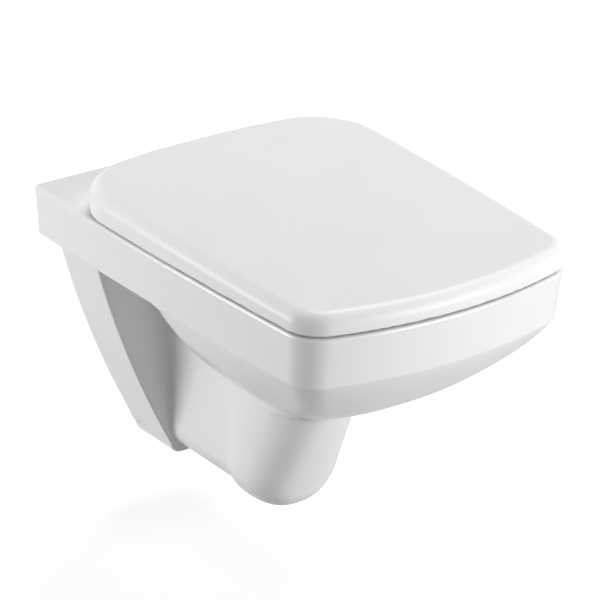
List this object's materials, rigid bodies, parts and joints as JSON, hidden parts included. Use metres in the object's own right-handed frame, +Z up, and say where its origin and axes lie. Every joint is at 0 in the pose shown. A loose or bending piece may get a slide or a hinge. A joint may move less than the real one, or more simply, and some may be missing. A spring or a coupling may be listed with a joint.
{
  "type": "wall hung toilet",
  "caption": "Wall hung toilet of glazed ceramic with a rounded rectangular pan, a soft-close seat and wrap-over lid, a wall flange and a trap with a horizontal outlet.",
  "frame": {"origin": "midway between the two wall fixings, on the wall plane", "axes": "+Y into the wall, -Y along the pan away from the wall, +X to the right seen from the front, +Z up"},
  "size_m": [0.353, 0.5285, 0.3708],
  "materials": {
    "ceramic": "glossy white sanitary glaze",
    "duroplast": "satin white moulded thermoset",
    "rubber": "matt light grey",
    "steel": "zinc plated, satin",
    "chrome": "polished chrome plating",
    "brass": "turned brass",
    "plastic": "white moulded plastic",
    "grey_plastic": "grey moulded plastic"
  },
  "bodies": {
    "pan": {"pan_body": "ceramic", "wall_stud_left": "steel", "wall_sleeve_left": "grey_plastic", "wall_washer_left": "steel", "wall_nut_left": "steel", "wall_cap_left": "plastic", "wall_stud_right": "steel", "wall_sleeve_right": "grey_plastic", "wall_washer_right": "steel", "wall_nut_right": "steel", "wall_cap_right": "plastic", "hinge_gasket_left": "rubber", "hinge_bracket_left": "chrome", "hinge_cap_left": "chrome", "seat_screw_left": "steel", "seat_expander_left": "rubber", "seat_cone_nut_left": "brass", "hinge_pin_left": "steel", "hinge_gasket_right": "rubber", "hinge_bracket_right": "chrome", "hinge_cap_right": "chrome", "seat_screw_right": "steel", "seat_expander_right": "rubber", "seat_cone_nut_right": "brass", "hinge_pin_right": "steel"},
    "seat": {"seat_ring": "duroplast", "seat_damper": "grey_plastic", "seat_buffer_front_left": "rubber", "seat_buffer_rear_left": "rubber", "seat_buffer_front_right": "rubber", "seat_buffer_rear_right": "rubber"},
    "cover": {"lid": "duroplast", "lid_damper": "grey_plastic", "lid_buffer_front_left": "rubber", "lid_buffer_rear_left": "rubber", "lid_buffer_front_right": "rubber", "lid_buffer_rear_right": "rubber"}
  },
  "joints": [
    {"name": "seat_hinge", "type": "hinge", "parent": "pan", "child": "seat", "pos_m": [0, -0.07, 0.102], "axis": [-1, 0, 0], "range_deg": [0, 92]},
    {"name": "lid_hinge", "type": "hinge", "parent": "seat", "child": "cover", "pos_m": [0, -0.07, 0.102], "axis": [-1, 0, 0], "range_deg": [0, 93]}
  ]
}
